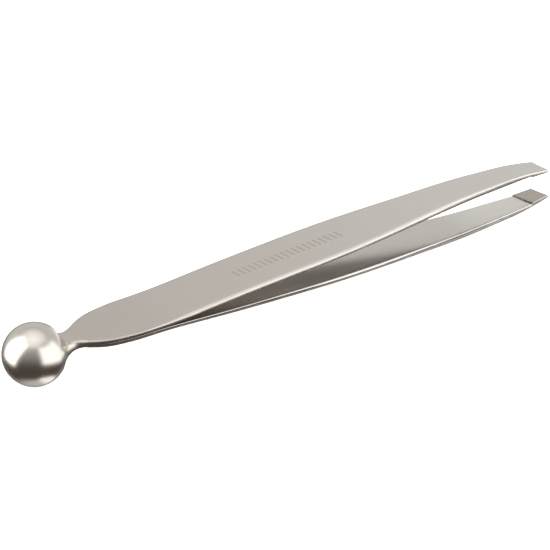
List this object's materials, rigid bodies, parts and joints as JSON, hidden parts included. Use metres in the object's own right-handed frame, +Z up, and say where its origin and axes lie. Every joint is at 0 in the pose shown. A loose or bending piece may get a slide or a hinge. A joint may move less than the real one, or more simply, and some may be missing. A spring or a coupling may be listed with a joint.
{
  "type": "slant-tip tweezers",
  "caption": "Sprung stainless steel tweezers with bowed arms, slanted gripping pads and a polished ball at the rear, for picking up small items.",
  "frame": {"origin": "on the table that the ball and the flat of the lower arm's bow rest on, under the middle of the whole length and width", "axes": "+X from the ball to the tips, +Y across the arms, +Z up, the way the upper arm opens; the plane where the arms meet leans 1.26 degrees down towards the tips, as the object lies"},
  "size_m": [0.1, 0.0102, 0.0103],
  "materials": {
    "satin_steel": "satin brushed stainless steel",
    "polished_steel": "softly polished stainless steel"
  },
  "bodies": {
    "root": {"ball_end": "polished_steel", "upper_arm_root": "satin_steel", "lower_arm_root": "satin_steel"},
    "upper_arm": {"upper_arm_blade": "satin_steel"},
    "lower_arm": {"lower_arm_blade": "satin_steel"}
  },
  "joints": [
    {"name": "upper_flex", "type": "hinge", "parent": "root", "child": "upper_arm", "pos_m": [-0.01297, 0, 0.00595], "axis": [0, 1, 0], "range_deg": [0, 1.98], "stiffness_Nm_per_rad": 1.2},
    {"name": "lower_flex", "type": "hinge", "parent": "root", "child": "lower_arm", "pos_m": [-0.01302, 0, 0.00395], "axis": [0, -1, 0], "range_deg": [0, 1.98], "stiffness_Nm_per_rad": 1.2}
  ]
}
